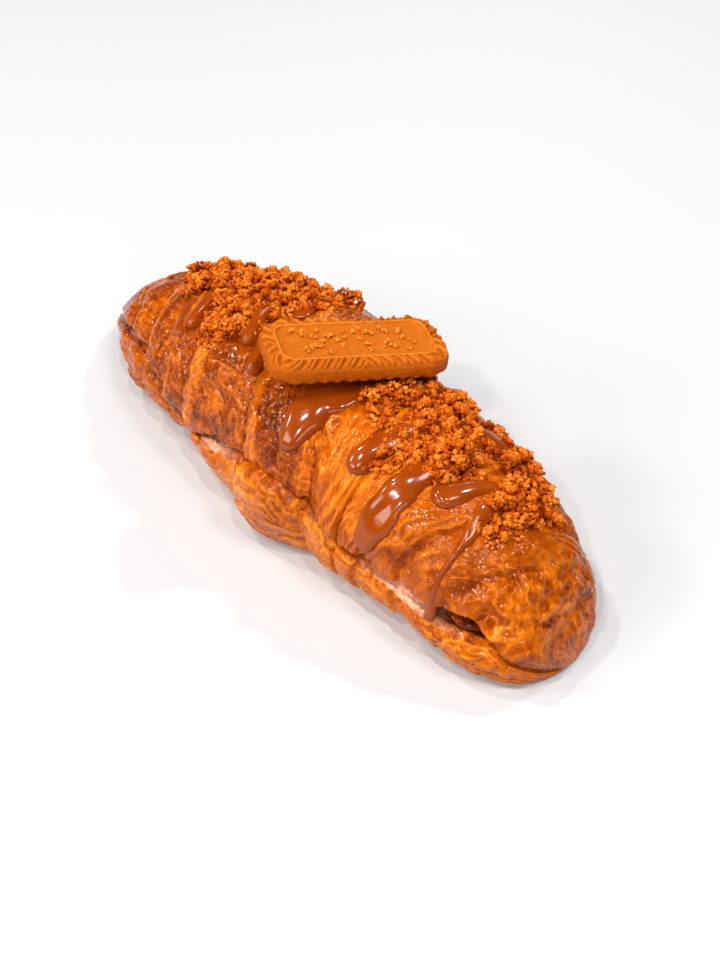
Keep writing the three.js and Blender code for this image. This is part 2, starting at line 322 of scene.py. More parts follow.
def blisters(points, size, seed):
    """(distance to the nearest of some scattered spots, that spot's own random number)."""
    p = points / np.asarray(size, float)
    low = np.floor(p).astype(np.int64)
    nearest = np.full(p.shape[:-1], 9.0)
    tag = np.zeros(p.shape[:-1])
    for offset in product((-1, 0, 1), repeat=3):
        cell = low + offset
        spot = cell + np.stack([hashed(cell, seed + axis) for axis in range(3)], axis=-1)
        gap = np.linalg.norm(p - spot, axis=-1)
        closer = gap < nearest
        nearest = np.where(closer, gap, nearest)
        tag = np.where(closer, hashed(cell, seed + 7), tag)
    return nearest, tag


# ---- the pastry's plain form ----
def half_width(x):
    t = x / HALF
    share = np.where(t < 0, fall(-t, *THIN_TAPER), fall(t, *BLUNT_TAPER))
    return share * mix(*HALF_WIDTH, smooth((x - WIDTH_CHANGE[0]) / WIDTH_CHANGE[1]))


def height(x):
    t = x / HALF
    return HEIGHT * np.where(t < 0, fall(-t, *THIN_TAPER), fall(t, *BLUNT_TAPER_UP))


def tallness(x):
    return height(x) / HEIGHT


def centre_y(x):
    t = x / HALF
    return -SWAY * np.sin(pi * t) - TIP_NOD * t**8


def lift(x):
    past = np.maximum(0, (np.abs(x / HALF) - LIFT_FROM) / (1 - LIFT_FROM))
    return np.where(x < 0, *TIP_LIFT) * past**2


def lean(u):
    side = np.tanh((u - LEAN_MIDDLE) / LEAN_SPREAD)
    return side * np.where(side < 0, *LEAN_MOST) * (1 - np.abs(u / HALF) ** 5)


def skin(u, angle):
    """The plain skin on the ring at u, without the rolls: x, y and z in the last axis."""
    reach = np.cos(np.clip(angle, 0, pi))
    x = np.clip(u + lean(u) * reach, -0.9995 * HALF, 0.9995 * HALF)
    middle = WIDEST_AT * height(x)
    over = np.sin(np.clip(angle, 0, pi)) ** ROUND
    turn = np.where(angle < 0, -angle, np.maximum(angle - pi, 0))
    inset = (CORNER + bumps(x, ROUNDER)) * half_width(x) * (1 - np.cos(turn))
    slim = 1 - (reach > 0) * bump(x, *BACK_SLIMMER)
    y = centre_y(x) + slim * (half_width(x) * signed_power(reach, ROUND) - np.sign(reach) * inset)
    z = middle * (1 - np.sin(turn)) + (height(x) - middle) * over + lift(x)
    return np.stack([x, y, z], axis=-1)


def front_angle(u, above):
    """The angle where the front of the skin reaches a height above the underside."""
    x = u - lean(u)
    middle = WIDEST_AT * height(x)
    below = pi + np.arcsin(np.clip(1 - above / middle, 0, 1))
    share = np.clip((above - middle) / (height(x) - middle), 0, 0.95)
    return np.where(above < middle, below, pi - np.arcsin(share ** (1 / ROUND)))


# ---- the slice ----
def slice_open(x):
    return smooth((x - SLICE_FROM) / SLICE_FADE) * smooth((SLICE_TO - x) / SLICE_FADE)


def base_height(x):
    thin = x < BASE_RISE_AT
    low = np.where(thin, *BASE_HEIGHT)
    top = BASE_HEIGHT[0] + BASE_RISE_BY
    curve = low + bump(x, BASE_RISE_AT, top - low, np.where(thin, *BASE_RISE_REACH))
    return np.minimum(curve + bump(x, *THIN_RISE), 0.6 * height(x))


def mouth_gap(x):
    return np.minimum(GAP_SHUT + slice_open(x) * bumps(x, GAPES), 0.2 * height(x))


def set_back(x):
    share = smooth((x - SET_BACK_TURN) / SET_BACK_SPREAD + 0.5)
    return (mix(*SET_BACK, share) + bumps(x, SET_DEEPER)) * np.sqrt(tallness(x))


# ---- the pastry as a fine grid ----
# Each ring runs up the back, over the crest, into the slice and out again, down the front of the
# base and back underneath. These are the points that each stretch has.
RING_COUNT = 620
STRETCHES = (("back", 34), ("dome", 270), ("roof", 14), ("floor", 30), ("front", 62), ("under", 8))
ARC_RADIUS = 40.0  # turns an angle round the ring into a rough length


def ring_places():
    """Places along the crest, closer together near the rolls' edges."""
    fine = np.linspace(-HALF + 0.25, HALF - 0.25, 4000)
    density = 1 + sum(bump(fine, at, 1.6, 3.0) for at, _, _ in ROLL_EDGES)
    total = np.cumsum(density)
    total = (total - total[0]) / (total[-1] - total[0])
    return np.interp(np.linspace(0, 1, RING_COUNT), total, fine)


def slice_of(u):
    """The slice on each ring: its place, its lips' angles, and its heights and depths."""
    x = u - lean(u)
    floor = base_height(x)
    mouth = mouth_gap(x)
    base_angle = front_angle(u, floor)
    top_angle = front_angle(u, floor + mouth)
    rounding = LIP_ROUND * np.sqrt(tallness(x))
    top_y = skin(u, top_angle)[..., 1] + set_back(x) + rounding
    mouth_y = skin(u, base_angle)[..., 1] - bumps(x, BASE_PUSHES) + rounding
    mouth_y = np.minimum(mouth_y, top_y - 0.3)
    root_y = top_y + mix(SLICE_SHALLOW, SLICE_DEEP, slice_open(x)) * half_width(x)
    inside = np.minimum(mix(GAP_SHUT, GAP_INSIDE, slice_open(x)), 0.1 * height(x))
    return dict(
        x=x,
        floor=floor + lift(x),
        mouth=mouth,
        inside=inside,
        base_angle=base_angle,
        top_angle=top_angle,
        mouth_y=mouth_y,
        top_y=top_y,
        root_y=root_y,
    )


def gap_at(cut, inwards):
    """Height of the slice's gap at a share of the way in from its upper lip."""
    near = mix(cut["mouth"], cut["inside"], np.clip(inwards / MOUTH_SHARE, 0, 1))
    return near * mix(1, 0.6, np.clip((inwards - MOUTH_SHARE) / (1 - MOUTH_SHARE), 0, 1))


class Grid:
    """The rings' plain points, with the angle of each point and the stretch of each column."""

    def __init__(self):
        self.u = ring_places()[:, None]
        self.cut = slice_of(self.u)
        blocks = {name: getattr(self, name)(np.arange(count) / count) for name, count in STRETCHES}
        self.points = np.concatenate([points for points, _ in blocks.values()], axis=1)
        self.angle = np.concatenate([angle for _, angle in blocks.values()], axis=1)
        self.stretch = np.concatenate([[name] * count for name, count in STRETCHES])
        self.arc = (self.angle - QUARTER) * ARC_RADIUS
        self.x = self.points[..., 0]

    def level(self, y, z):
        points = np.stack(np.broadcast_arrays(self.cut["x"], y, z), axis=-1)
        return points, np.broadcast_to(self.cut["base_angle"], points.shape[:2])

    def back(self, share):
        angle = -QUARTER * (1 - share) + 0 * self.u
        return skin(self.u, angle), angle

    def dome(self, share):
        angle = self.cut["top_angle"] * share
        points = skin(self.u, angle)
        points[..., 1] += set_back(points[..., 0]) * smooth((share - 0.55) / 0.35)
        return points, angle

    def roof(self, share):
        inwards = share**1.6
        y = mix(self.cut["top_y"], self.cut["root_y"], inwards)
        return self.level(y, self.cut["floor"] + gap_at(self.cut, inwards))

    def floor(self, share):
        outwards = 1 - (1 - share) ** 1.8
        y = mix(self.cut["root_y"], self.cut["mouth_y"], outwards)
        return self.level(y, self.cut["floor"])

    def pushed(self, angle):
        """The skin of the base, with its bulges."""
        points = skin(self.u, angle)
        points[..., 1] -= bumps(points[..., 0], BASE_PUSHES)
        return points

    def front(self, share):
        angle = mix(self.cut["base_angle"], 3 * QUARTER, share)
        return self.pushed(angle), angle

    def under(self, share):
        front = self.pushed(3 * QUARTER + 0 * self.u)
        back = skin(self.u, -QUARTER + 0 * self.u)
        points = mix(front, back, share[None, :, None])
        return points, 3 * QUARTER + 0 * points[..., 0]

    def on(self, *names):
        return np.isin(self.stretch, names)[None, :]

    def start(self, name):
        """The column where a stretch begins."""
        return int(np.flatnonzero(self.stretch == name)[0])


def normals_of(rings):
    """Outward normals of a grid of closed rings."""
    across = np.roll(rings, -1, axis=1) - np.roll(rings, 1, axis=1)
    return unit(np.cross(across, np.gradient(rings, axis=0)))


def sheet_normals(points):
    """Outward normals of an open grid of points."""
    return unit(np.cross(np.gradient(points, axis=1), np.gradient(points, axis=0)))


# ---- what stands out from the plain form ----
# Each relief is three maps: how far it rises, the rim where a layer's open edge shows (painted
# lighter, partly as a painted highlight), and the painted shade in the groove at its step's foot.
def rolls(u):
    """The relief of the rolled layers, for rings at u."""
    knots = [(-HALF, 0.0)]
    for index, (at, step, width) in enumerate(ROLL_EDGES):
        to_thin = index < MIDDLE_ROLL
        low, high = (-step / 2, step / 2) if to_thin else (step / 2, -step / 2)
        start = at - width if to_thin else at
        knots += [(start, low), (start + width, high)]
    knots.append((HALF, 0.0))
    rise = np.interp(u, *zip(*knots))
    marks = [-HALF, *(edge[0] for edge in ROLL_EDGES), HALF]
    share = np.interp(u, marks, np.arange(len(marks))) % 1
    rise = rise + ROLL_BULGE * np.sin(pi * share)
    rim = np.zeros_like(u)
    groove_shade = np.zeros_like(u)
    for index, (at, step, width) in enumerate(ROLL_EDGES):
        past = (-1 if index < MIDDLE_ROLL else 1) * (u - at)
        shown = smooth((past + 0.2 + 0.7 * width) / 1.2) * smooth((width + 0.3 - past) / 0.6)
        rim = np.maximum(rim, shown * min(1, 0.25 + width / 4))
        # Painted shade at the foot of each roll's step.
        groove_shade = np.maximum(groove_shade, folds(past - width - 0.5, 0.7) * min(1, step / 2.5))
    return rise, rim, groove_shade


def leaf(phase, sharp):
    """The relief of overlapping thin layers: one for each whole number of the phase."""
    share = phase % 1
    rise = share * (1 - smooth((share - 1 + sharp) / sharp))
    return rise, folds(share - 1 + 1.6 * sharp, sharp), folds(share - 0.4 * sharp, 0.6 * sharp)


def torn_layers(kind, place, phase, tilt, seed):
    """The relief of torn layers, coarse and fine. The phase is in millimetres across them."""
    rise, rim, groove_shade = 0, 0, 0
    for period, step, wander, reach in kind["rows"]:
        seed += 3
        drift = wander * noise(place, (reach, kind["drift_long"] * reach, 1), seed) + tilt
        layer = leaf(phase / period + drift, kind["sharp"])
        spots = noise(place, (kind["spot_wide"] * reach, kind["spot_long"] * reach, 1), seed + 1)
        strength = smooth(kind["least"] + kind["varied"] * spots)
        rise = rise + step * strength * (layer[0] - kind["middle"])
        rim = np.maximum(rim, strength * layer[1] * min(1, kind["rim"] + step))
        groove_shade = np.maximum(groove_shade, strength * layer[2] * min(1, kind["groove_shade"] + step))
    return rise, rim, groove_shade


def flakes(grid, bent):
    """The relief of the dome's torn layers, whose edges face the nearer end."""
    outwards = np.tanh((grid.u - 6) / 6)
    return torn_layers(FLAKES, bent, outwards * grid.u, 0, 21)


def strata(grid, jag):
    """The relief of the base's side, where the dough's layers lie one on another."""
    down = (grid.angle - grid.cut["base_angle"]) * 24 + 0.5 * jag[..., 0]
    place = flat(grid.x + jag[..., 1], 2.2 * down)
    return torn_layers(STRATA, place, -down, grid.x * 0.012, 31)


def warped(side):
    """The place on the skin, bent so that the layers' edges are wavy and torn."""
    bent = side.copy()
    for amount, reach, seed in ((3.0, (10, 16), 21), (1.2, (4, 6), 23), (0.35, (1.6, 2.2), 25)):
        for axis in range(2):
            bent[..., axis] += amount * noise(side, (*reach, 1), seed + axis)
    return bent


def soften_lips(grid):
    """Rounds the slice's two sharp lips and makes their edges ragged."""
    points = grid.points
    columns = np.arange(points.shape[1])
    for beyond, reach, times, seed in (("front", 10, 26, 501), ("roof", 6, 10, 505)):
        middle = grid.start(beyond)
        relax(np.moveaxis(points[:, middle - reach : middle + reach + 1], 1, 0), times)
        near = folds(columns - middle, 0.6 * reach) * slice_open(grid.cut["x"])
        place = flat(grid.x, grid.angle * 8)
        points[..., 1] += 0.9 * near * noise(place, (3.4, 3.0, 1), seed)
        points[..., 1] += 0.5 * near * noise(place, (1.4, 2.0, 1), seed + 1)
        points[..., 2] += 0.6 * near * noise(place, (2.6, 3.0, 1), seed + 2)


def end_flap(grid):
    """How far the upper lip stands out over the base, round the blunt end."""
    above = grid.cut["top_angle"] - grid.angle
    return grid.on("dome") * bump(grid.u, *END_FLAP) * folds(above, 0.5)


class Crust:
    """The baked crust on the pastry's grid: its finished points, and the maps for its material."""

    def __init__(self, grid):
        soften_lips(grid)
        self.grid = grid
        self.side = flat(grid.u, grid.arc)
        self.bent = warped(self.side)
        self.wide = noise(grid.points, 26, 11)
        self.lumps = noise(grid.points, 9, 12)
        self.find_zones()
        self.find_reliefs()

    def find_zones(self):
        """Where the slice, its ledge and its ends are, and where the crust is flaky."""
        grid = self.grid
        self.inside = grid.on("roof", "floor")
        self.front = grid.on("front")
        before_lip = grid.cut["top_y"] - 0.6 - grid.points[..., 1]
        self.ledge = smooth(before_lip / 1.2) * grid.on("floor")
        self.outer = np.maximum(grid.on("back", "dome", "front"), self.ledge)
        self.thin_end = smooth((-50 - grid.u) / 10)
        golden = smooth((grid.u - 18) / 10) * smooth((102 - grid.u) / 14)
        self.flaky = np.maximum(golden, 0.3 * self.thin_end)
        from_lips = [np.abs(grid.angle - grid.cut[lip]) for lip in ("top_angle", "base_angle")]
        self.from_mouth = np.minimum(*from_lips) * ARC_RADIUS
        self.crease = (1 - slice_open(grid.x)) * folds(self.from_mouth, 2.6)

    def find_reliefs(self):
        """The reliefs of the rolls, of the torn layers and of the skin's fine detail."""
        grid, side = self.grid, self.side
        wobble = 1.6 * noise(side, (30, 15, 1), 3) + 0.8 * noise(side, (9, 6, 1), 4)
        torn = 0.45 * noise(side, (2.2, 1.8, 1), 5)
        self.rolls = rolls(grid.u + wobble + torn)
        self.flakes = flakes(grid, self.bent)
        self.strata = strata(grid, self.bent - side)
        smoother = 1 - bump(grid.u, 34, 0.55, 18)
        on_dome = mix(0.1, 0.9, self.flaky) * smoother * self.flakes[0]
        self.layers = np.where(self.front, self.strata[0], on_dome)
        self.detail = self.fine_relief()

    def fine_relief(self):
        """How far the baked skin's blisters, wrinkles and crinkles rise."""
        points, bent, flaky = self.grid.points, self.bent, self.flaky
        blister = 0
        for cell, by, seed in ((4.2, 0.5, 40), (2.2, 0.3, 50)):
            gap, tag = blisters(points, cell, seed)
            blister = blister + by * np.clip(1 - (gap / 0.75) ** 2, 0, 1) * (0.2 + 0.8 * tag)
        near_tip = smooth((np.abs(self.grid.x) - 92) / 12)
        wrinkle = mix(noise(bent, (1.7, 7, 1), 71), noise(points, 2.6, 72), near_tip)
        crinkle = mix(noise(bent, (3.0, 3.8, 1), 73), noise(points, 3.4, 75), near_tip)
        crinkle = folds(crinkle, 0.3) * smooth(0.7 + noise(points, 6, 74))
        crinkle = crinkle * np.where(self.front, 0.5, 1)
        soft = mix(0.6, 0.4, flaky) * blister + mix(0.03, 0.32, flaky) * folds(wrinkle, 0.22)
        return soft + mix(0.5, 0.34, flaky) * crinkle

    def rise(self):
        """How far the skin stands out. Both ends have folds, and a crease where the slice shuts."""
        grid = self.grid
        place = grid.points + 1.5 * noise(grid.points, 5, 76)[..., None]
        pucker = smooth((np.abs(grid.u - 4) - 82) / 12) * folds(noise(place, 8, 78), 0.3)
        rise = (1 + 0.4 * self.thin_end) * self.rolls[0] + self.layers + self.detail
        rise = rise + 0.8 * self.wide + mix(0.5, 0.7, self.front) * self.lumps
        rise = rise + 1.3 * pucker * smooth(self.from_mouth / 9) - 1.6 * self.crease - 0.3
        upright = np.cos(np.maximum(np.maximum(-grid.angle, grid.angle - pi), 0))
        return self.outer * rise * np.sqrt(tallness(grid.x)) * upright + end_flap(grid)

    def points(self):
        """The grid's points, moved out on the skin, and up or down where the slice is torn."""
        grid = self.grid
        points = grid.points + normals_of(grid.points) * self.rise()[..., None]
        crumb = 0.5 * rough(grid.points, 3.2, 60) - 0.3 * smooth(1.6 * rough(grid.points, 1.5, 64))
        room = np.clip((grid.cut["mouth"] - GAP_SHUT) / 1.5, 0, 1)
        depth = np.where(self.inside, crumb * room, 0)
        points[..., 2] += np.where(grid.on("floor"), depth, -depth)
        points[..., 2] = np.maximum(points[..., 2], 0.0)
        return points

    def seams(self):
        """(rims, painted lighter partly as a painted highlight, and painted groove shade) of all the
        layers.
        """
        flaky = self.flaky
        broken = smooth(0.6 + 0.9 * noise(self.side, (14, 12, 1), 77))
        roll_rim = (1.0 + 0.6 * self.thin_end) * self.rolls[1] * mix(1.0, 0.6 * broken, flaky)
        rim = np.maximum(roll_rim, mix(0.2, 0.8, flaky) * self.flakes[1])
        groove_shade = np.maximum(mix(1, 0.6, flaky) * self.rolls[2], 0.5 * flaky * self.flakes[2])
        rim = np.where(self.front, self.strata[1], rim)
        # The slice's crease is added to the grooves as painted shade.
        groove_shade = np.maximum(np.where(self.front, self.strata[2], groove_shade), self.crease)
        return self.outer * rim, self.outer * groove_shade

    def browning_and_shade(self):
        """How dark the crust is baked: about 0 is pale, and 1 is the darkest. Raised places are
        painted lighter and low ones darker, as painted shade.
        """
        u = self.grid.u
        rolled = bump(u, -30, 0.14, 18) + bump(u, 2, 0.15, 12) - bump(u, 46, 0.1, 24)
        ends = 0.1 * self.thin_end + 0.12 * smooth((-108 - u) / 6)
        base = np.where(self.front, 0.15 + bump(u, -22, 0.17, 24), 0)
        brown = 0.66 + rolled + ends + 0.1 * self.wide + 0.07 * self.lumps - base
        on_dome = mix(0.55, 0.22, self.flaky)
        # Painted shade: raised relief is painted lighter, low relief darker.
        painted_relief_shade = self.detail + 0.4 * self.layers - 0.25
        return brown - np.where(self.front, 0.2, on_dome) * painted_relief_shade

    def maps(self):
        """What the crust's material reads at each point."""
        grid = self.grid
        rim, groove_shade = self.seams()
        # Painted shade: deep in the slice near x = 92 the cavity's roof and floor are painted dark.
        painted_cavity_shade = np.clip(bump(grid.x, 92, 1.4, 8), 0, 1) * self.inside * (1 - self.ledge)
        behind_lip = smooth((grid.points[..., 1] - grid.cut["mouth_y"] + 1.0) / 1.2)
        pale = np.clip(1.3 * bumps(grid.x, PALE_LEDGES), 0, 1) * mix(1, behind_lip, self.ledge)
        return dict(
            # brown is the baked browning with its painted shade, and painted cavity shade deep in the
            # slice.
            brown=mix(self.browning_and_shade(), 1.1, painted_cavity_shade),
            rim=rim,
            groove_shade=groove_shade,
            crumb=self.inside * (1 - painted_cavity_shade) * pale,
            flaky=np.where(self.front, 0.4, self.flaky),
            flow=self.bent[..., 0],
            around=self.bent[..., 1],
        )


# ---- the finished crust, as a surface to lay things on ----
def blurred(values, axis, width):
    """Values on a grid, smoothed along one axis by a bell curve that is width points wide."""
    reach = int(3 * width)
    weights = np.exp(-((np.arange(-reach, reach + 1) / width) ** 2) / 2)
    padding = [(reach, reach) if k == axis else (0, 0) for k in range(values.ndim)]
    padded = np.pad(values, padding, mode="edge")
    places = np.arange(values.shape[axis])
    total = sum(w * np.take(padded, places + k, axis=axis) for k, w in enumerate(weights))
    return total / weights.sum()


def step_in(marks, values):
    """(which step between the marks each value is in, how far into it)."""
    place = np.interp(values, marks, np.arange(len(marks)))
    step = np.minimum(place.astype(int), len(marks) - 2)
    return step, (place - step)[..., None]


class Surface:
    """The crust's upper side by place along the croissant and angle round it, with its fine detail
    smoothed away."""

    def __init__(self, grid, points, along, across):
        self.angles = np.radians(np.arange(0, 240.5, 1.0))
        self.u = grid.u[:, 0]
        columns = np.flatnonzero(grid.on("dome", "front")[0])
        rings = zip(grid.angle[:, columns], points[:, columns])
        even = [[np.interp(self.angles, at, axis) for axis in ring.T] for at, ring in rings]
        self.points = blurred(blurred(np.moveaxis(np.array(even), 1, 2), 0, along), 1, across)
        self.normals = sheet_normals(self.points)

    def at(self, x, angle):
        """(points, normals) of the surface at places along the croissant and angles in radians."""
        u = x + 0 * angle
        for _ in range(40):  # closes in on the ring through each place, as the rings lean
            u = mix(u, x - lean(u) * np.cos(angle), 0.5)
        row, past_row = step_in(self.u, u)
        column, past_column = step_in(self.angles, angle)

        def across(values, row):
            return mix(values[row, column], values[row, column + 1], past_column)

        grids = (self.points, self.normals)
        return tuple(mix(across(v, row), across(v, row + 1), past_row) for v in grids)


# ---- the sauce ----
def sauce_run(surface, knots, seed):
    """The rings of one run of sauce: a rounded top that lies on the crust, and a sunk underside."""
    knots = np.array(knots, float)
    route = np.stack([knots[:, 0], np.radians(knots[:, 1]) * ARC_RADIUS], axis=-1)
    legs = np.linalg.norm(np.diff(route, axis=0), axis=-1)
    length = np.concatenate([[0], np.cumsum(legs)])
    reach = length[-1] + 0.55 * knots[-1, 2]
    steps = np.linspace(0, 1, 110) ** 0.9 * reach
    table = np.concatenate([route, knots[:, 2:]], axis=-1)
    line = np.stack([np.interp(steps, length, table[:, k]) for k in range(4)], axis=-1)
    past = np.maximum(steps - length[-1], 0)[:, None]
    line[:, :2] += past * unit(route[-1] - route[-2])
    relax(line, 60)
    ahead = unit(np.gradient(line[:, :2], axis=0))
    left = np.stack([-ahead[:, 1], ahead[:, 0]], axis=-1)

    tip = np.clip((reach - steps) / (1.2 * knots[-1, 2]), 0, 1)
    tail = np.clip(steps / (1.2 * knots[0, 2]), 0, 1)
    rounding = np.sqrt(1 - (1 - tip) ** 2) * np.sqrt(1 - (1 - tail) ** 2)
    edge = 0.12 * noise(flat(steps, 0), (6, 1, 1), seed)
    half = line[:, 2] * rounding * (1 + edge)

    across = np.sin(np.linspace(-QUARTER, QUARTER, 31))
    side = line[:, None, :2] + half[:, None, None] * across[None, :, None] * left[:, None, :]
    points, normals = surface.at(side[..., 0], side[..., 1] / ARC_RADIUS)
    flatness = 1.4 + 0.45 * line[:, 2:3]
    crown = (1 - np.abs(across[None, :]) ** flatness) ** 0.62
    thick = (line[:, 3] * rounding**0.8)[:, None] * crown
    top = points + normals * (thick + 0.3 - 0.6 * (1 - crown))[..., None]
    bottom = points - normals * (SAUCE_SUNK * rounding[:, None, None] + 0.4)
    return np.concatenate([top, bottom[:, -2:0:-1]], axis=1)


# ---- the crumbs ----
def crumb_mask(x, angle):
    """How much crumb lies at each place: above 0 inside the zones, and below it outside."""
    turn = np.degrees(angle)
    place = flat(x, angle * ARC_RADIUS)
    ragged = 9 * noise(place, (8, 8, 1), 204) + 5 * noise(place, (3.4, 3.4, 1), 202)
    best = np.full(np.shape(x), -9.0)
    for knots in CRUMB_ZONES.values():
        near = np.interp(x, *zip(*knots))
        inside = np.minimum(near - turn, turn - CRUMB_FAR)
        ends = np.minimum(x - knots[0][0], knots[-1][0] - x) * 1.6
        best = np.maximum(best, np.minimum(inside, ends))
    for at, middle, reach, depth in CRUMB_HOLES:
        away = ((x - at) ** 2 + (np.radians(turn - middle) * CRUMB_RADIUS) ** 2) / reach**2
        best = best - depth * np.exp(-away)
    return (best + ragged) / 9


def crumb_heap(surface, knots):
    """One zone's heaped crumbs: points, polygons, the points' tones and the spots on its top. The
    tones are painted darker in low places and between grains, as painted shade.
    """
    xs = np.arange(knots[0][0] - 4, knots[-1][0] + 4, CRUMB_STEP)
    turns = np.arange(0, radians(92), CRUMB_STEP / CRUMB_RADIUS) + np.radians(CRUMB_FAR - 6)
    x, angle = np.meshgrid(xs, turns, indexing="ij")
    place = flat(x, angle * CRUMB_RADIUS)
    bend = flat(noise(place, (6, 6, 1), 210), noise(place, (6, 6, 1), 211))
    bend = bend + 0.4 * flat(noise(place, (2, 2, 1), 212), noise(place, (2, 2, 1), 213))
    edge = smooth(crumb_mask(x, angle) / 0.5 + 0.3)
    rise = -1.4 * (1 - edge) - 1.3
    for cell, by, seed in ((8.6, 2.4, 220), (4.6, 1.4, 230)):
        gap, tag = blisters(place + 2.0 * bend, (cell, cell, 1e6), seed)
        rise = rise + edge * by * domes(gap, 0.58) * mix(0.1, 1, tag)
    base, normals = surface.at(x, angle)
    points = base + normals * rise[..., None]
    # Painted shade: lower parts of the heap are painted darker.
    tone = rise / 8 - 0.1
    for cell, by, seed in ((2.0, 0.8, 240), (1.15, 0.45, 250)):
        outward = sheet_normals(points)
        gap, tag = blisters(points, cell, seed)
        grain = domes(gap, 0.7) * mix(0.3, 1, tag) - 0.3
        # Painted shade: raised grains are painted lighter, the gaps between them darker.
        tone = tone + 0.2 * grain
        points = points + outward * (by * grain * smooth(edge * 1.6))[..., None]
    top = edge > 0.5
    spots = points[top], sheet_normals(points)[top], rise[top]
    points, polygons, source = close_below(points, base - normals * 2.0, edge > 0.02)
    return points, polygons, tone.ravel()[source], spots


def corners_of(grid):
    """The four corners of each cell of a grid."""
    return np.stack([grid[:-1, :-1], grid[:-1, 1:], grid[1:, 1:], grid[1:, :-1]], axis=-1)


def close_below(top, bottom, kept):
    """(points, polygons, top point of each point) of a solid between two grids, where kept."""
    index = np.arange(kept.size).reshape(kept.shape)
    upper = corners_of(index)[corners_of(kept).any(axis=-1)]
    edges = np.concatenate([upper[:, [k, (k + 1) % 4]] for k in range(4)])
    code = edges[:, 0] * kept.size + edges[:, 1]
    other = edges[:, 1] * kept.size + edges[:, 0]
    rim = edges[~np.isin(code, other)]
    walls = np.stack([rim[:, 1], rim[:, 0], rim[:, 0] + kept.size, rim[:, 1] + kept.size], axis=-1)
    polygons = np.concatenate([upper, upper[:, ::-1] + kept.size, walls])
    used, polygons = np.unique(polygons, return_inverse=True)
    points = np.concatenate([top.reshape(-1, 3), bottom.reshape(-1, 3)])[used]
    return points, polygons.reshape(-1, 4), used % kept.size


def ball():
    """(points, triangles) of a ball of radius 1 with 20 faces."""
    made = bmesh.new()
    bmesh.ops.create_icosphere(made, subdivisions=1, radius=1.0)
    points = np.array([vert.co for vert in made.verts])
    triangles = np.array([[vert.index for vert in face.verts] for face in made.faces])
    made.free()
    return points, triangles


def scatter(random, centres, radii, tones):
    """(points, triangles, tone) of uneven balls joined in one mesh."""
    points, triangles = ball()
    count = len(centres)
    turns, _ = np.linalg.qr(random.normal(size=(count, 3, 3)))
    stretch = random.uniform(0.6, 1.4, size=(count, 1, 3))
    bulges = random.normal(size=(count, 3, 4))
    wave = np.sin(2.8 * points @ bulges).mean(axis=-1)
    shaped = points[None] * (1 + LUMPINESS * wave[..., None])
    shaped = (shaped * stretch) @ turns * radii[:, None, None] + centres[:, None, :]
    joined = triangles[None] + len(points) * np.arange(count)[:, None, None]
    tone = tones[:, None] + random.uniform(-0.12, 0.12, (count, 1)) + 0.12 * wave
    return shaped.reshape(-1, 3), joined.reshape(-1, 3), tone.ravel()


def nibs_on(random, spots):
    """(centres, radii, tones) of nibs on the heaps' tops, most of them on the higher clumps. The nibs
    lower down are painted darker, as painted shade.
    """
    points, normals, rise = spots
    odds = np.clip(rise + 1.0, 0.02, None) ** 1.5
    picked = random.choice(len(points), NIBS, replace=False, p=odds / odds.sum())
    radii = mix(*NIB_RADII, random.uniform(0, 1, NIBS) ** 1.5)
    return points[picked] + normals[picked] * (radii * 0.5)[:, None], radii, 0.3 + rise[picked] / 12


def well_apart(random, spots, count):
    """(centres, normals) of a heap's spots, the higher ones first, with room for a clump on each."""
    points, normals, rise = spots
    kept = []
    for index in np.argsort(-rise - random.uniform(0, 3, len(rise))):
        if len(kept) == count:
            break
        away = np.linalg.norm(points[kept] - points[index], axis=-1)
        if np.all(away > HEAP_APART):
            kept.append(index)
    return points[kept], normals[kept]


def loose_spots(random, surface):
    """(centres, normals) of scattered places in the crumbs' zones and just outside them."""
    tries = 60 * LOOSE_COUNT
    x = random.uniform(CRUMB_ZONES["thin"][0][0], CRUMB_ZONES["blunt"][-1][0], tries)
    angle = np.radians(random.uniform(CRUMB_FAR, 126, tries))
    place = np.stack([x, angle * CRUMB_RADIUS], axis=-1)
    kept = np.zeros((0, 2))
    for spot in place[crumb_mask(x, angle) > -0.3]:
        if len(kept) == LOOSE_COUNT:
            break
        if np.all(np.linalg.norm(kept - spot, axis=-1) > LOOSE_APART):
            kept = np.concatenate([kept, spot[None]])
    return surface.at(kept[:, 0], kept[:, 1] / CRUMB_RADIUS)


def panel_spots(random):
    """(centres, normals) of places scattered over the biscuit's panel."""
    turn, middle = biscuit_place()
    across = random.uniform(-1, 1, (PANEL_COUNT, 2)) * np.array(PANEL_REACH)
    high = np.full((PANEL_COUNT, 1), BISCUIT_THICK / 2 - 0.7)
    centres = np.concatenate([across, high], axis=-1) @ turn.T + middle
    return centres, np.repeat(turn[:, 2][None], PANEL_COUNT, axis=0)


def clumps(random, spots, sizes, knobs, knob_radii):
    """(centres, radii, tones) of knobs that stand together in rounded clumps. The low ones are painted
    darker, as painted shade.
    """
    centres, normals = spots
    count = len(centres)
    radii = random.uniform(*sizes, count)[:, None]
    ways = unit(random.normal(size=(count, knobs, 3)))
    up = (ways * normals[:, None]).sum(-1, keepdims=True)
    ways = ways + normals[:, None] * (np.abs(up) - up)
    share = random.uniform(0.45, 1.0, (count, knobs, 1)) ** 0.5
    stretch = random.uniform(0.65, 1.35, (count, 1, 3))
    places = centres[:, None] + ways * stretch * share * radii[:, None] + 0.2 * normals[:, None]
    knob_sizes = random.uniform(*knob_radii, (count, knobs)) * mix(0.8, 1.15, radii / sizes[1])
    tones = 0.3 + 0.6 * (np.abs(up) * share)[..., 0] * np.minimum(radii / 2, 1)
    return places.reshape(-1, 3), knob_sizes.ravel(), tones.ravel()


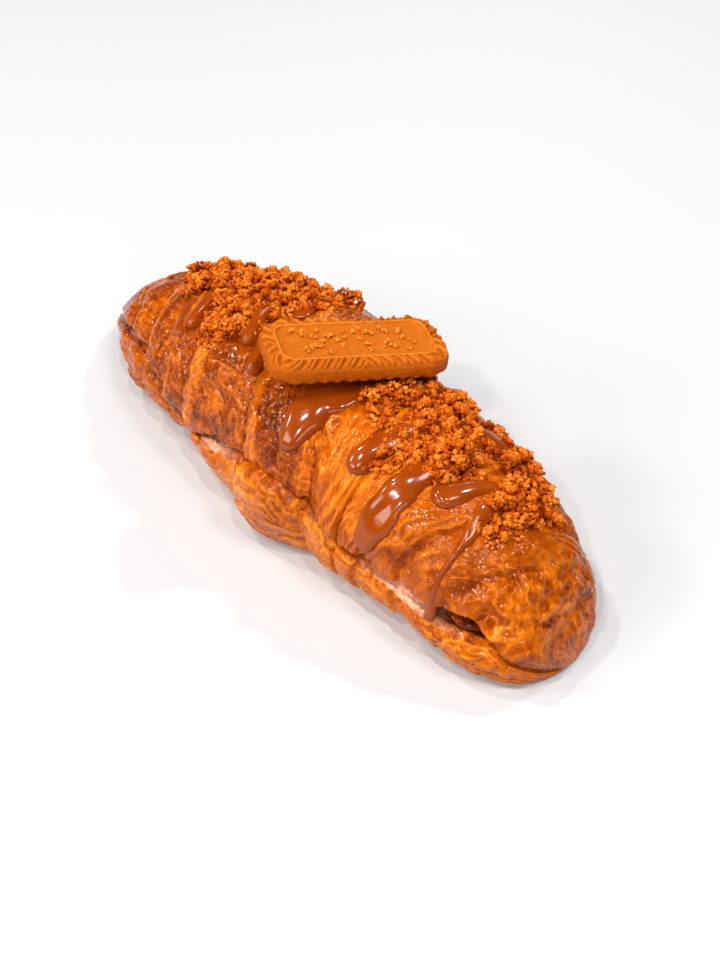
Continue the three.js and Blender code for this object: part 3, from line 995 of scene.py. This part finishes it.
# ---- the spread ----
def spread_rings(u):
    """Rings of the spread, from near the slice's root to a wavy front edge inside the lips."""
    cut = slice_of(u)
    share = np.linspace(0, 1, len(u))[:, None]
    set_in = SPREAD_BACK + SPREAD_WANDER * np.sin(u * SPREAD_WAVES)
    set_in = set_in - bump(cut["x"], *SPREAD_BULGE)
    thin = np.sin(pi * mix(0.1, 0.9, share)) ** 0.25
    first = set_in / (cut["root_y"] - cut["top_y"])
    inwards = mix(first, 0.95, np.linspace(0, 1, 40) ** 1.7)
    half = np.maximum(gap_at(cut, inwards) / 2 - SPREAD_CLEAR, 0.15) * thin
    swell = np.sqrt(np.clip((inwards - first) / 0.04 + 0.1, 0, 1))
    y = mix(cut["top_y"], cut["root_y"], inwards)
    middle = cut["floor"] + gap_at(cut, inwards) / 2
    x = cut["x"] + 0 * y
    hollow = bump(cut["x"], *SPREAD_HOLLOW) * folds(inwards - first, 0.25)
    upper = np.stack([x, y, middle + half * swell * (1 - hollow)], axis=-1)
    lower = np.stack([x, y, middle - half * swell], axis=-1)
    return np.concatenate([upper[:, ::-1], lower], axis=1)


# ---- the biscuit ----
def biscuit_outline():
    """Going round the biscuit: where each corner's circle is centred, the way out from it, and the
    distance from the middle of the side."""
    halves = (BISCUIT_LENGTH / 2 - BISCUIT_CORNER, BISCUIT_WIDTH / 2 - BISCUIT_CORNER)
    bend = np.linspace(0, QUARTER, 52, endpoint=False)
    bend_length = bend * (BISCUIT_CORNER - BISCUIT_BORDER)
    first_half = bend_length < bend_length[-1] / 2
    cores, ways, along = [], [], []
    for side in range(4):
        out, half = halves if side % 2 == 0 else halves[::-1]
        straight = np.linspace(-half, half, round(half / 0.13), endpoint=False)
        angle = np.concatenate([0 * straight, bend])
        beside = np.concatenate([straight, half + 0 * bend])
        turn = side * QUARTER
        rotation = np.array([[cos(turn), sin(turn)], [-sin(turn), cos(turn)]])
        cores.append(np.stack([out + 0 * beside, beside], axis=-1) @ rotation)
        ways.append(np.stack([np.cos(angle), np.sin(angle)], axis=-1) @ rotation)
        from_next = bend_length - bend_length[-1] - out
        along.append(np.concatenate([straight, np.where(first_half, half + bend_length, from_next)]))
    return np.concatenate(cores), np.concatenate(ways), np.concatenate(along)


def biscuit_profile():
    """(inset, level) from under the biscuit up its side and over its border to the panel."""
    half = BISCUIT_THICK / 2
    rows = (
        (2.4, -half, 6),
        (1.0, -half + 0.25, 4),
        (0.25, -half + 1.1, 6),
        (0.0, -0.6, 12),
        (0.1, half - 2.4, 8),
        (0.7, half - 1.0, 8),
        (1.8, half - 0.35, 8),
        (4.0, half - 0.2, 12),
        (4.45, half + 0.3, 4),
        (4.85, half + 0.3, 3),
        (5.4, half - 0.6, 5),
        (8.0, half - 0.75, 10),
    )
    legs = [np.linspace(p[:2], q[:2], q[2], endpoint=False) for p, q in zip(rows, rows[1:])]
    profile = np.concatenate(legs)
    relax(profile, 2)
    return profile.T[..., None]


def drawn_in(ring, shares, level):
    """A ring repeated at one level, each time drawn in to a share of its size."""
    return ring * np.array([1, 1, 0]) * shares[:, None, None] + np.array([0, 0, level])


def biscuit_form():
    """(rings, maps) of the biscuit in its own axes: from under it, up its side and over to the
    middle of its panel."""
    core, way, along = biscuit_outline()
    inset, level = biscuit_profile()
    half = BISCUIT_THICK / 2
    out = np.maximum(BISCUIT_BORDER - inset, 0) + np.maximum(half - 1.0 - level, 0)
    slanted = np.abs(along) - RIDGE_SLANT * out / BISCUIT_BORDER
    beside = (slanted % RIDGE_SPACING) - RIDGE_SPACING / 2
    strong = smooth(out / 0.5) * smooth((RIDGE_REACH - out) / 2.6)
    ridge = folds(beside, 0.36) * strong
    hollow = folds(np.abs(beside) - 0.95, 0.5) * strong
    foot = smooth((-half + 2.2 - level) / 1.6) * smooth(3.0 - inset)
    scallop = foot * (0.35 * np.cos(2 * pi * along / RIDGE_SPACING) - 0.2)

    push = 0.3 * ridge - 0.12 * hollow + scallop
    sideways = core + way * (BISCUIT_CORNER - inset + push)[..., None]
    high = level + RIDGE_HEIGHT * ridge - 0.45 * hollow
    sides = np.concatenate([sideways, high[..., None]], axis=-1)
    under = drawn_in(sides[0], np.linspace(0.04, 1, UNDER_RINGS, endpoint=False), -half)
    panel = drawn_in(sides[-1], np.linspace(1, 0.01, PANEL_RINGS + 1)[1:], high[-1].mean())
    rings = np.concatenate([under, sides, panel])

    around = ((UNDER_RINGS, PANEL_RINGS), (0, 0))
    toasted = np.pad(smooth((out - 2.5) / 4), around)
    toasted[:UNDER_RINGS] = 1
    # Painted highlight and shade: the ridges and the panel's rim line are painted lighter, and the
    # hollows between the ridges darker.
    rim = folds(inset - 4.65, 0.3)
    edges = np.pad(np.maximum(ridge, rim) - 1.5 * hollow, around)
    return rings, dict(toasted=toasted, ridge=edges)


def biscuit_place():
    turn = np.array(Euler(BISCUIT_TURNS, "XYZ").to_matrix())
    return turn, np.array(BISCUIT_CENTRE)


def biscuit_rings():
    rings, maps = biscuit_form()
    normals = -normals_of(rings)  # these rings go round the other way than the pastry's
    grain = 0.11 * rough(rings, 1.5, 301) + 0.08 * noise(rings, 0.6, 305) + 0.12 * noise(rings, 7, 306)
    pits, tag = blisters(rings, 1.7, 310)
    grain = grain - 0.16 * np.where(tag > 0.6, np.clip(1 - (pits / 0.35) ** 2, 0, 1), 0)
    rings = rings + normals * grain[..., None]
    turn, centre = biscuit_place()
    return rings @ turn.T + centre, maps


# ---- making objects ----
def added(name, data):
    """A new object in the scene."""
    made = bpy.data.objects.new(name, data)
    bpy.context.scene.collection.objects.link(made)
    return made


def mesh_object(name, points, polygons, maps=None):
    """A smooth-shaded object from points in millimetres."""
    mesh = bpy.data.meshes.new(name)
    mesh.from_pydata((points.reshape(-1, 3) * MM).tolist(), [], polygons)
    for key, values in (maps or {}).items():
        layer = mesh.attributes.new(key, "FLOAT", "POINT")
        layer.data.foreach_set("value", np.ascontiguousarray(values, dtype=np.float32).ravel())
    mesh.shade_smooth()
    return added(name, mesh)


def ring_polygons(rings, count):
    """Faces of a closed surface through rings of equal length, with a fan over each end."""
    a = (np.arange(rings - 1)[:, None] * count + np.arange(count)).ravel()
    b = (np.arange(rings - 1)[:, None] * count + (np.arange(count) + 1) % count).ravel()
    sides = np.stack([a, b, b + count, a + count], axis=-1).tolist()
    ring = np.arange(count)
    after = (ring + 1) % count
    first, last = rings * count, rings * count + 1
    base = (rings - 1) * count
    start = [[first, int(q), int(p)] for p, q in zip(ring, after)]
    end = [[last, int(p) + base, int(q) + base] for p, q in zip(ring, after)]
    return sides + start + end


def ring_object(name, rings, maps=None):
    """A closed object through rings: an array of rings by points by 3."""
    count = rings.shape[1]
    ends = np.stack([rings[0].mean(axis=0), rings[-1].mean(axis=0)])
    points = np.concatenate([rings.reshape(-1, 3), ends])
    full = {}
    for key, values in (maps or {}).items():
        values = np.broadcast_to(values, rings.shape[:2])
        full[key] = np.concatenate([values.ravel(), [values[0].mean(), values[-1].mean()]])
    return mesh_object(name, points, ring_polygons(rings.shape[0], count), full)


# ---- materials ----
def srgb(*colour):
    """A colour given as 0 to 255, as the shader's linear values."""
    shares = np.asarray(colour, float) / 255
    return (*np.where(shares <= 0.04045, shares / 12.92, ((shares + 0.055) / 1.055) ** 2.4), 1)


class Shader:
    """A node material. add() makes a node and sets its properties and inputs by name."""

    def __init__(self, name):
        self.material = bpy.data.materials.new(name)
        self.material.use_nodes = True
        self.tree = self.material.node_tree
        self.tree.nodes.clear()
        self.out = self.tree.nodes.new("ShaderNodeOutputMaterial")

    def plug(self, value, socket):
        if isinstance(value, bpy.types.NodeSocket):
            self.tree.links.new(value, socket)
        else:
            socket.default_value = value

    def add(self, kind, settings=None, **inputs):
        node = self.tree.nodes.new("ShaderNode" + kind)
        for key, value in (settings or {}).items():
            setattr(node, key, value)
        for key, value in inputs.items():
            self.plug(value, node.inputs[key.replace("_", " ")])
        return node

    def attribute(self, name):
        return self.add("Attribute", dict(attribute_name=name)).outputs["Fac"]

    def place(self):
        return self.add("TexCoord").outputs["Object"]

    def noise(self, size, detail, roughness, place=None):
        """Noise with lumps of a size in millimetres."""
        more = dict(Scale=1 / (size * MM), Detail=detail, Roughness=roughness)
        return self.add("TexNoise", Vector=place or self.place(), **more).outputs["Fac"]

    def streaks(self, across, along, width, length):
        """Noise drawn out along one of two attributes that give a place in millimetres."""
        x = self.math("DIVIDE", self.attribute(across), width)
        y = self.math("DIVIDE", self.attribute(along), length)
        place = self.add("CombineXYZ", X=x, Y=y).outputs[0]
        return self.add("TexNoise", Vector=place, Scale=1.0, Detail=2, Roughness=0.5).outputs["Fac"]

    def ridges(self, field, width):
        """1 along the lines where a field is a half, and 0 where it is a width above or below."""
        away = self.math("ABSOLUTE", self.math("SUBTRACT", field, 0.5), 0.0)
        return self.ramp(away, (0.0, 1.0), (width, 0.0))

    def warped_place(self, size, amount):
        """The object's own place, bent by up to an amount in millimetres."""
        bend = self.add("TexNoise", Vector=self.place(), Scale=1 / (size * MM), Detail=2)
        node = self.add("VectorMath", dict(operation="MULTIPLY_ADD"))
        values = bend.outputs["Color"], (2 * amount * MM,) * 3, self.place()
        for value, socket in zip(values, node.inputs):
            self.plug(value, socket)
        return node.outputs[0]

    def specks(self, spacing, full, gone):
        """1 in specks, fading out between two distances from their middles."""
        cells = self.add("TexVoronoi", Vector=self.place(), Scale=1 / (spacing * MM))
        return self.ramp(cells.outputs["Distance"], (full, 1.0), (gone, 0.0))

    def math(self, operation, a, b):
        node = self.add("Math", dict(operation=operation))
        self.plug(a, node.inputs[0])
        self.plug(b, node.inputs[1])
        return node.outputs[0]

    def shifted(self, value, *parts):
        """A value with others added: each part is (what to add, its middle, how much it counts)."""
        for part, middle, by in parts:
            added = self.math("MULTIPLY", self.math("SUBTRACT", part, middle), by)
            value = self.math("ADD", value, added)
        return value

    def ramp(self, value, *stops):
        """Colours, or shades of grey, along a value: each stop is (place, colour)."""
        node = self.add("ValToRGB", Fac=value)
        elements = node.color_ramp.elements
        while len(elements) < len(stops):
            elements.new(0.5)
        for element, (place, colour) in zip(elements, stops):
            element.position = place
            grey = isinstance(colour, (int, float))
            element.color = (colour, colour, colour, 1) if grey else srgb(*colour)
        return node.outputs["Color"]

    def blend(self, share, a, b):
        """One colour, and another one where the share is 1."""
        node = self.add("Mix", dict(data_type="RGBA"))
        for value, index in ((share, 0), (a, 6), (b, 7)):
            self.plug(value, node.inputs[index])
        return node.outputs[2]

    def bump(self, relief, strength, distance, **inputs):
        made = self.add("Bump", Height=relief, Strength=strength, Distance=distance * MM, **inputs)
        return made.outputs[0]

    def finish(self, **inputs):
        shader = self.add("BsdfPrincipled", **inputs)
        self.tree.links.new(shader.outputs[0], self.out.inputs["Surface"])
        return self.material


# Highlights on brown glaze and on the dark spread are warm, and those on the sauce nearly white.
CRUST_GLOSS = dict(Specular_IOR_Level=0.38, Specular_Tint=(1.0, 0.7, 0.45, 1))
SAUCE_GLOSS = dict(Specular_IOR_Level=0.45, Specular_Tint=(1.0, 0.88, 0.78, 1))


def crust_material():
    s = Shader("crust")
    crinkle = s.ridges(s.noise(2.4, 0, 0.5, s.warped_place(5.0, 1.4)), 0.2)
    pleat = s.ridges(s.streaks("flow", "around", 2.2, 6.0), 0.22)
    relief = s.blend(s.math("MULTIPLY", s.attribute("flaky"), 0.7), crinkle, pleat)
    tone = s.shifted(
        s.attribute("brown"),
        (s.noise(7, 3, 0.55), 0.5, 0.34),
        (s.noise(1.2, 3, 0.6), 0.5, 0.12),
        # Painted highlight and shade: the crinkles' ridges are painted lighter and their hollows
        # darker.
        (relief, 0.4, -0.13),
        # Painted shade in the grooves, and rims painted lighter, partly as a painted highlight.
        (s.attribute("groove_shade"), 0, 0.22),
        (s.attribute("rim"), 0, -0.25),
    )
    colour = s.ramp(
        tone,
        (0.0, (250, 172, 66)),
        (0.2, (234, 133, 25)),
        (0.42, (204, 100, 8)),
        (0.6, (174, 76, 3)),
        (0.8, (134, 50, 1)),
        (1.0, (82, 24, 0)),
    )
    pores = s.noise(1.1, 4, 0.7)
    inside = s.ramp(pores, (0.3, (236, 136, 92)), (0.46, (255, 184, 142)), (0.66, (255, 214, 186)))
    colour = s.blend(s.attribute("crumb"), colour, inside)
    normal = s.bump(relief, 0.6, 0.4)
    normal = s.bump(s.noise(1.0, 2, 0.5), 0.25, 0.2, Normal=normal)
    dull = s.ramp(s.noise(3.0, 3, 0.6), (0.35, 0.07), (0.65, 0.15))
    dull = s.shifted(dull, (s.attribute("crumb"), 0, 0.5))
    return s.finish(Base_Color=colour, Roughness=dull, Normal=normal, **CRUST_GLOSS)


def sauce_material():
    s = Shader("sauce")
    cloud = s.noise(9, 3, 0.5)
    colour = s.ramp(cloud, (0.3, (138, 52, 2)), (0.6, (152, 62, 3)), (0.8, (166, 73, 6)))
    colour = s.blend(s.specks(2.2, 0.05, 0.11), colour, srgb(122, 40, 6))
    normal = s.bump(s.noise(5, 2, 0.5), 0.25, 0.5)
    return s.finish(Base_Color=colour, Roughness=0.14, Normal=normal, **SAUCE_GLOSS)


def spread_material():
    s = Shader("spread")
    colour = s.ramp(s.noise(4, 4, 0.6), (0.35, (64, 16, 0)), (0.65, (140, 54, 8)))
    normal = s.bump(s.noise(1.8, 3, 0.6), 0.9, 1.0)
    return s.finish(Base_Color=colour, Roughness=0.1, Normal=normal, **CRUST_GLOSS)


def crumb_material():
    s = Shader("crumbs")
    tone = s.shifted(s.attribute("tone"), (s.noise(1.3, 4, 0.65), 0.5, 0.4))
    colour = s.ramp(
        tone,
        (0.0, (44, 8, 0)),
        (0.3, (140, 48, 2)),
        (0.6, (202, 88, 8)),
        (1.0, (240, 146, 50)),
    )
    normal = s.bump(s.noise(0.55, 4, 0.7), 0.7, 0.25)
    return s.finish(Base_Color=colour, Roughness=0.62, Normal=normal, Specular_IOR_Level=0.05)


def biscuit_material():
    s = Shader("biscuit")
    tone = s.shifted(
        0.0,
        (s.attribute("toasted"), 0, 0.26),
        (s.noise(5, 4, 0.6), 0, 0.35),
        (s.noise(0.8, 4, 0.7), 0, 0.42),
        # Painted highlight on the ridges and rim line, painted shade in the hollows.
        (s.attribute("ridge"), 0, -0.27),
    )
    colour = s.ramp(
        tone,
        (0.15, (214, 126, 36)),
        (0.36, (192, 98, 14)),
        (0.6, (184, 88, 8)),
        (0.85, (152, 60, 4)),
    )
    some = s.ramp(s.noise(2.1, 2, 0.5), (0.48, 0.0), (0.56, 0.8))
    dark = s.math("MULTIPLY", s.specks(1.1, 0.08, 0.2), some)
    colour = s.blend(dark, colour, srgb(128, 46, 6))
    normal = s.bump(s.noise(0.9, 4, 0.75), 0.9, 0.34)
    return s.finish(Base_Color=colour, Roughness=0.6, Normal=normal, Specular_IOR_Level=0.07)


def floor_material():
    return Shader("floor").finish(Base_Color=FLOOR_COLOUR, Roughness=0.6)


# ---- the pieces ----
def finish_piece(piece, material, slot, *replaced):
    piece.data.materials.append(material)
    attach(piece, "root")
    if replaced:
        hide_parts(*replaced)


def make_pastry():
    grid = Grid()
    crust = Crust(grid)
    points = crust.points()
    piece = ring_object("pastry_crust", points, crust.maps())
    finish_piece(piece, crust_material(), "crust", "pastry")
    return grid, points


def make_sauce(surface):
    rings = [sauce_run(surface, knots, 90 + index) for index, knots in enumerate(SAUCE_RUNS)]
    points, polygons, start = [], [], 0
    for run in rings:
        points += [run.reshape(-1, 3), run[0].mean(axis=0)[None], run[-1].mean(axis=0)[None]]
        polygons += [[corner + start for corner in face] for face in ring_polygons(*run.shape[:2])]
        start += run.shape[0] * run.shape[1] + 2
    piece = mesh_object("sauce_runs", np.concatenate(points), polygons)
    finish_piece(piece, sauce_material(), "spread")


def crumb_piece(name, material, points, polygons, tone):
    piece = mesh_object(name, points, polygons.tolist(), dict(tone=tone))
    finish_piece(piece, material, "biscuit")


def make_crumbs(surface):
    random = np.random.default_rng(7)
    material = crumb_material()
    tops = []
    for end, knots in CRUMB_ZONES.items():
        *heap, spots = crumb_heap(surface, knots)
        crumb_piece(f"crumb_heap_{end}", material, *heap)
        apart = well_apart(random, spots, HEAP_COUNTS[end])
        balls = clumps(random, apart, *HEAP_CLUMPS)
        crumb_piece(f"crumb_clumps_{end}", material, *scatter(random, *balls))
        tops.append(spots)
    spots = [np.concatenate(group) for group in zip(*tops)]
    crumb_piece("crumb_nibs", material, *scatter(random, *nibs_on(random, spots)))

    *on_panel, panel_tones = clumps(random, panel_spots(random), *PANEL_CLUMPS)
    *loose, loose_tones = clumps(random, loose_spots(random, surface), *LOOSE_CLUMPS)
    balls = [np.concatenate(pair) for pair in zip(on_panel, loose)]
    tones = np.concatenate([panel_tones + PANEL_PALER, loose_tones + LOOSE_PALER])
    crumb_piece("crumb_grains", material, *scatter(random, *balls, tones))


def make_biscuit():
    rings, maps = biscuit_rings()
    piece = ring_object("biscuit_baked", rings, maps)
    finish_piece(piece, biscuit_material(), "biscuit", "biscuit")


def make_spread():
    u = ring_places()
    x = u - lean(u)
    kept = u[(x > SPREAD_FROM) & (x < SPREAD_TO)][:, None]
    rings = spread_rings(kept)
    rings[..., 2] += 0.3 * noise(rings, 2.5, 401) * (rings[..., 1] < rings[..., 1].mean())
    piece = ring_object("spread_glossy", rings)
    finish_piece(piece, spread_material(), "spread", "spread_filling")


# ---- the camera, the floor and the lights ----
def facing(azimuth, elevation):
    """(the way out from the object at these angles, the turn that makes something look back).
    Azimuth 0 is on the -Y side, and a quarter turn is on the +X side."""
    out = Vector((sin(azimuth) * cos(elevation), -cos(azimuth) * cos(elevation), sin(elevation)))
    return out, out.to_track_quat("Z", "Y").to_matrix().to_4x4()


def placed(name, data, place, turn):
    made = added(name, data)
    made.matrix_world = Matrix.Translation(place) @ turn
    return made


def make_camera():
    out, turn = facing(CAMERA_AZIMUTH, CAMERA_ELEVATION)
    data = bpy.data.cameras.new("camera")
    data.lens = CAMERA_LENS
    data.clip_start = 0.01
    place = (Vector(CAMERA_TARGET) + CAMERA_DISTANCE * out) * MM
    turn = turn @ Matrix.Rotation(CAMERA_ROLL, 4, "Z")
    bpy.context.scene.camera = placed("camera", data, place, turn)


def make_floor():
    bpy.ops.mesh.primitive_plane_add(size=FLOOR_WIDTH, location=(0, 0, -FLOOR_DROP))
    floor = bpy.context.object
    floor.name = "floor"
    floor.data.materials.append(floor_material())


def area_light(name, azimuth, elevation, distance, width, power):
    """A square light that faces the object."""
    data = bpy.data.lights.new(name, "AREA")
    data.size = width
    data.energy = power
    out, turn = facing(radians(azimuth), radians(elevation))
    placed(name, data, out * distance, turn)


def make_lights():
    world = bpy.data.worlds.new("studio")
    world.use_nodes = True
    background = world.node_tree.nodes["Background"].inputs
    background["Color"].default_value = (1, 1, 1, 1)
    background["Strength"].default_value = WORLD_LIGHT
    bpy.context.scene.world = world
    for name, light in LIGHTS.items():
        area_light(name, *light)
    for azimuth, elevation in GLINTS:
        area_light("glint", azimuth, elevation, *GLINT)


make_camera()
make_floor()
make_lights()
pastry_grid, pastry_points = make_pastry()
make_sauce(Surface(pastry_grid, pastry_points, 9, 5))
make_crumbs(Surface(pastry_grid, pastry_points, 2, 2))
make_spread()
make_biscuit()

bpy.context.scene.view_settings.view_transform = "Standard"
